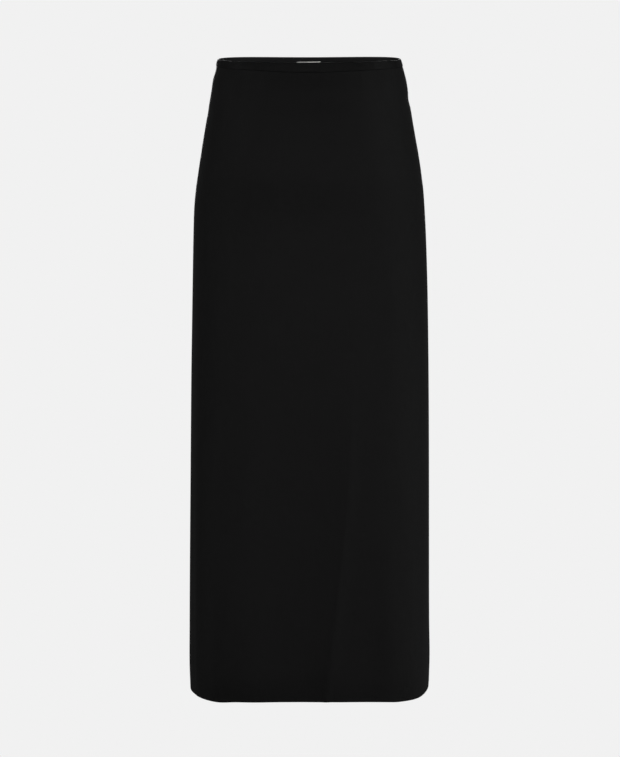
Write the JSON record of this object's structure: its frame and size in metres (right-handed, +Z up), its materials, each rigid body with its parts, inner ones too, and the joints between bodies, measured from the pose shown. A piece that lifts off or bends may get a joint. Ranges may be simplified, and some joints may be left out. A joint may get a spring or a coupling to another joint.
{
  "type": "midi skirt",
  "caption": "Long straight skirt with a narrow waistband, hollow as worn and open at the waist and the hem, hung from its waist.",
  "frame": {"origin": "centre of the waist, halfway up the waistband at the sides, where the wearer's waist holds the skirt", "axes": "+Z up out of the waist, -Y the way the front faces, +X to the right seen from the front"},
  "size_m": [0.3693, 0.2438, 0.9524],
  "materials": {
    "skirt_cloth": "matt black crepe jersey with a fine upright grain",
    "waistband_cloth": "the same matt black cloth, doubled over elastic",
    "label_tape": "cream woven tape with a soft sheen"
  },
  "bodies": {
    "root": {"front_panel": "skirt_cloth", "back_panel": "skirt_cloth", "waistband_front": "waistband_cloth", "waistband_back": "waistband_cloth", "label": "label_tape"}
  },
  "joints": []
}
